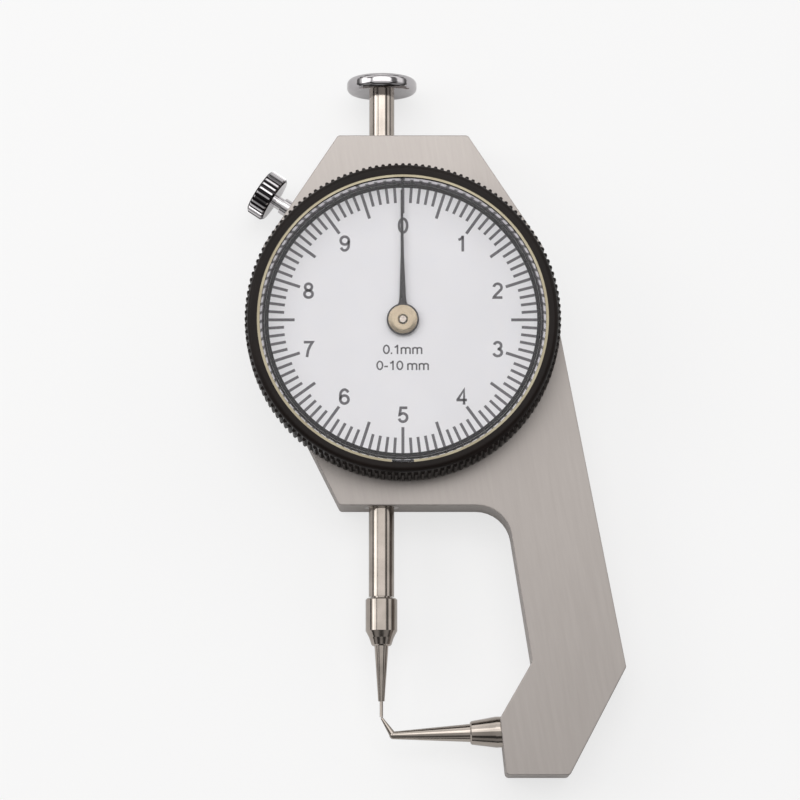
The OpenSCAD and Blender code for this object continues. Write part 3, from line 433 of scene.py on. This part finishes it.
def make_materials():
    """Every finish of the gauge by name."""
    made = {name: turned_metal(name, *finish) for name, finish in TURNED_FINISH.items()}
    made.update({name: painted(name, *finish) for name, finish in PAINTED_FINISH.items()})
    made["frame_metal"] = brushed_metal("frame_metal", *FRAME_FINISH)
    made["bezel_black"] = satin_black("bezel_black", *BEZEL_FINISH)
    made["lock_steel_groove_shade"] = knurled_metal("lock_steel_groove_shade", *LOCK_FINISH_GROOVE_SHADE)
    made["spacer_mirror_painted_shade"] = rim_mirror("spacer_mirror_painted_shade", *SPACER_FINISH_PAINTED_SHADE)
    made["crystal_clear"] = clear_crystal("crystal_clear")
    return made


def dress_cad_nodes():
    """Each CAD node takes its own finish, or else its slot's."""
    for name, piece in nodes.items():
        slot = piece.data.materials[0].name
        piece.data.materials.clear()
        piece.data.materials.append(materials[SPECIAL_FINISH.get(name, slot)])
    nodes["crystal"].visible_shadow = False
    nodes["crystal"].visible_diffuse = False


# Dial print

def add_ribbon(shape, points, width, face_z):
    """A flat printed ribbon of constant width along a line of points, in a bmesh."""
    low, high = face_z, face_z + PRINT_T
    spots = [Vector((x, y, 0.0)) for x, y in points]
    closed = (spots[0] - spots[-1]).length < width * CLOSED_WITHIN
    if closed:
        spots.pop()
    last = len(spots) - 1
    rails = []
    for k, spot in enumerate(spots):
        before = spots[k - 1] if closed or k > 0 else spot
        after = spots[(k + 1) % len(spots)] if closed or k < last else spot
        ways = [way.normalized() for way in (spot - before, after - spot) if way.length > 0]
        sides = [Vector((-way.y, way.x, 0.0)) for way in ways]
        mitre = sum(sides, Vector()).normalized()
        reach = min(width / 2 / max(mitre.dot(sides[0]), SHARPEST_MITRE), width)
        corners = ((-reach, low), (reach, low), (reach, high), (-reach, high))
        places = [spot + mitre * side + Vector((0.0, 0.0, z)) for side, z in corners]
        rails.append([shape.verts.new(place) for place in places])
    following = rails[1:] + rails[:1] if closed else rails[1:]
    for a, b in zip(rails, following):
        for k in range(len(a)):
            beside = (k + 1) % len(a)
            shape.faces.new((a[k], a[beside], b[beside], b[k]))
    if not closed:
        shape.faces.new(rails[0][::-1])
        shape.faces.new(rails[last])


def printed_piece(name, shape, material):
    """A bmesh of ribbons turned into a piece that rides on the bezel with the dial."""
    bmesh.ops.recalc_face_normals(shape, faces=shape.faces)
    mesh = bpy.data.meshes.new(name)
    shape.to_mesh(mesh)
    shape.free()
    mesh.materials.append(materials[material])
    piece = bpy.data.objects.new(name, mesh)
    bpy.context.scene.collection.objects.link(piece)
    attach(piece, "bezel")


def clockwise(radius, angle):
    """The point at a radius and an angle clockwise from 12 o'clock."""
    return (radius * math.sin(angle), radius * math.cos(angle))


def dial_ticks(face_z):
    """The hundred divisions printed round the dial."""
    shape = bmesh.new()
    for i in range(TICK_COUNT):
        is_long = i % LONG_TICK_EVERY == 0
        inner = LONG_TICK_INNER_R if is_long else SHORT_TICK_INNER_R
        width = LONG_TICK_W if is_long else SHORT_TICK_W
        angle = 2 * math.pi * i / TICK_COUNT
        add_ribbon(shape, [clockwise(inner, angle), clockwise(TICK_OUTER_R, angle)], width, face_z)
    printed_piece("dial_ticks", shape, "print_grey")


def dial_border(face_z):
    """The dark circle printed round the divisions."""
    middle = (BORDER_INNER_R + BORDER_OUTER_R) / 2
    points = [clockwise(middle, 2 * math.pi * k / BORDER_STEPS) for k in range(BORDER_STEPS + 1)]
    shape = bmesh.new()
    add_ribbon(shape, points, BORDER_OUTER_R - BORDER_INNER_R, face_z)
    printed_piece("dial_border", shape, "print_black")


def arc(x, y, across, upright, start, end):
    """Points on an ellipse about (x, y), from one angle to another in degrees."""
    angles = [math.radians(start + (end - start) * k / ARC_STEPS) for k in range(ARC_STEPS + 1)]
    return [(x + across * math.cos(a), y + upright * math.sin(a)) for a in angles]


def half_turned(strokes):
    """A digit's strokes turned upside down in its box."""
    return [[(DIGIT_W - x, 1 - y) for x, y in stroke] for stroke in strokes]


def digits():
    """Centre lines of the digits 0 to 9 of a plain sans-serif letter."""
    six = [arc(0.28, 0.315, 0.215, 0.25, 180, -180),
           [(0.065, 0.315), (0.066, 0.48)] + arc(0.285, 0.6, 0.215, 0.335, 175, 28)]
    return (
        [arc(0.28, 0.5, 0.215, 0.435, 90, -270)],
        [[(0.35, 0.0), (0.35, 1.0)], [(0.12, 0.735), (0.23, 0.775), (0.31, 0.85), (0.345, 0.95)]],
        [arc(0.28, 0.7, 0.205, 0.235, 172, -38) + [(0.09, 0.12), (0.075, 0.065), (0.53, 0.065)]],
        [arc(0.27, 0.715, 0.185, 0.22, 165, -85), arc(0.27, 0.285, 0.215, 0.22, 92, -168)],
        [[(0.4, 0.0), (0.4, 0.93), (0.07, 0.32), (0.07, 0.285), (0.55, 0.285)]],
        [[(0.5, 0.935), (0.155, 0.935), (0.1, 0.49)] + arc(0.275, 0.325, 0.215, 0.26, 140, -165)],
        six,
        [[(0.04, 0.935), (0.5, 0.935), (0.38, 0.72), (0.27, 0.42), (0.21, 0.0)]],
        [arc(0.28, 0.73, 0.18, 0.205, 90, -270), arc(0.28, 0.285, 0.215, 0.22, 90, -270)],
        half_turned(six),
    )


def characters():
    """Each character's advance and strokes."""
    made = {str(i): (DIGIT_ADVANCE, strokes) for i, strokes in enumerate(digits())}
    hump = arc(M_LEFT + M_STEP / 2, 0.53, M_STEP / 2, 0.155, 180, 0) + [(M_LEFT + M_STEP, 0.0)]
    second_hump = [(x + M_STEP, y) for x, y in hump]
    made["m"] = (0.9, [[(M_LEFT, 0.0), (M_LEFT, 0.7)], hump, second_hump])
    made["."] = (0.2, [[(0.08, 0.0), (0.08, STROKE_W)]])
    made["-"] = (0.36, [[(0.03, 0.38), (0.31, 0.38)]])
    made[" "] = (0.26, [])
    return made


def lettering(name, text, height, stretch, centre, face_z):
    """A line of printed characters on the dial, centred on a point and stretched across."""
    letters = characters()
    width = height * stretch
    total = sum(letters[c][0] for c in text) - LETTER_GAP
    start = centre[0] - total * width / 2
    shape = bmesh.new()
    for c in text:
        advance, strokes = letters[c]
        for stroke in strokes:
            points = [(start + x * width, centre[1] + (y - 0.5) * height) for x, y in stroke]
            add_ribbon(shape, points, STROKE_W * height, face_z)
        start += advance * width
    printed_piece(name, shape, "print_grey")


def dial_lettering(face_z):
    """Numerals of the dial and the two lines that give its division and range."""
    for i in range(NUMERAL_COUNT):
        angle = 2 * math.pi * i / NUMERAL_COUNT
        centre = (math.sin(angle) * NUMERAL_ACROSS_R, math.cos(angle) * NUMERAL_UPRIGHT_R)
        lettering("dial_numeral_%d" % i, str(i), NUMERAL_H, NUMERAL_STRETCH, centre, face_z)
    for i, (text, below) in enumerate(UNIT_LINES):
        lettering("dial_unit_line_%d" % i, text, UNIT_H, UNIT_STRETCH, (0.0, below), face_z)


# Studio

def floor_material():
    """Pale floor that stays near white to the camera and keeps the object's shadow."""
    material, tree, shader = new_material("floor_pale")
    tone = noise(tree, own_coords(tree), scale=3, detail=2.0)
    white = (FLOOR_WHITE,) * 3 + (1.0,)
    pale = (FLOOR_WHITE * FLOOR_SHADE,) * 3 + (1.0,)
    tree.links.new(two_tone(tree, tone, pale, white), shader.inputs["Base Color"])
    shader.inputs["Roughness"].default_value = FLOOR_ROUGH
    shader.inputs["Specular IOR Level"].default_value = 0.0
    path = tree.nodes.new("ShaderNodeLightPath").outputs
    mirrored = math_node(tree, "MAXIMUM", path["Is Glossy Ray"], path["Is Transmission Ray"])
    seen = math_node(tree, "MULTIPLY", path["Is Camera Ray"], FLOOR_GLOW)
    share = math_node(tree, "MULTIPLY_ADD", mirrored, FLOOR_MIRRORED_GLOW, seen)
    glow = tree.nodes.new("ShaderNodeEmission")
    mix = tree.nodes.new("ShaderNodeMixShader")
    tree.links.new(share, mix.inputs["Fac"])
    tree.links.new(shader.outputs[0], mix.inputs[1])
    tree.links.new(glow.outputs[0], mix.inputs[2])
    tree.links.new(mix.outputs[0], tree.nodes["Material Output"].inputs["Surface"])
    return material


def make_floor():
    """A wide floor just under the plate's back."""
    half = FLOOR_SIZE / 2
    mesh = bpy.data.meshes.new("floor")
    corners = [(-half, -half, 0.0), (half, -half, 0.0), (half, half, 0.0), (-half, half, 0.0)]
    mesh.from_pydata(corners, [], [(0, 1, 2, 3)])
    mesh.materials.append(floor_material())
    floor = bpy.data.objects.new("floor", mesh)
    floor.location.z = cad_low.z - FLOOR_DROP
    bpy.context.scene.collection.objects.link(floor)


def make_world():
    """A light tent, dimmer in front: bright overhead, a darker band, bright walls, dim skirting."""
    world = bpy.data.worlds.new("studio")
    bpy.context.scene.world = world
    world.use_nodes = True
    tree = world.node_tree
    place = tree.nodes.new("ShaderNodeTexCoord")
    split = tree.nodes.new("ShaderNodeSeparateXYZ")
    tree.links.new(place.outputs["Generated"], split.inputs["Vector"])
    stops = [(height, (*(level * part for part in TENT_TINT), 1.0)) for height, level in TENT_LEVELS]
    background = tree.nodes["Background"]
    tree.links.new(ramp(tree, split.outputs["Z"], stops), background.inputs["Color"])
    front = TENT_STRENGTH * TENT_FRONT_SHARE
    strength = spread(tree, split.outputs["Y"], front, TENT_STRENGTH, TENT_FRONT_Y, TENT_BACK_Y)
    tree.links.new(strength, background.inputs["Strength"])


def softbox(name, place, aim, width, length, level):
    """A rectangular area light whose face has about the given brightness."""
    lamp = bpy.data.lights.new(name, "AREA")
    lamp.shape = "RECTANGLE"
    lamp.size = width
    lamp.size_y = length
    lamp.energy = level * math.pi * width * length
    holder = bpy.data.objects.new(name, lamp)
    holder.location = place
    holder.rotation_euler = (Vector(aim) - Vector(place)).to_track_quat("-Z", "Y").to_euler()
    bpy.context.scene.collection.objects.link(holder)


def make_camera():
    """The camera, looking down on the dial and slightly from the foot's side."""
    lens = bpy.data.cameras.new("camera")
    lens.lens = CAMERA_LENS
    lens.sensor_width = SENSOR_WIDTH
    lens.clip_start = CAMERA_NEAR
    camera = bpy.data.objects.new("camera", lens)
    back = Vector((0.0, -math.sin(CAMERA_TILT), math.cos(CAMERA_TILT)))
    right = Vector((1.0, 0.0, 0.0))
    up = back.cross(right)
    turn = Matrix((right, up, back)).transposed()
    camera.matrix_world = Matrix.Translation(CAMERA_TARGET + back * CAMERA_DISTANCE) @ turn.to_4x4()
    bpy.context.scene.collection.objects.link(camera)
    bpy.context.scene.camera = camera


materials = make_materials()
dress_cad_nodes()
dial_face_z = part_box("dial_plate")[1].z
dial_ticks(dial_face_z)
dial_border(dial_face_z)
dial_lettering(dial_face_z)
make_floor()
make_world()
for softbox_name, setting in SOFTBOXES.items():
    softbox(softbox_name, *setting)
make_camera()
bpy.context.scene.view_settings.view_transform = "Standard"
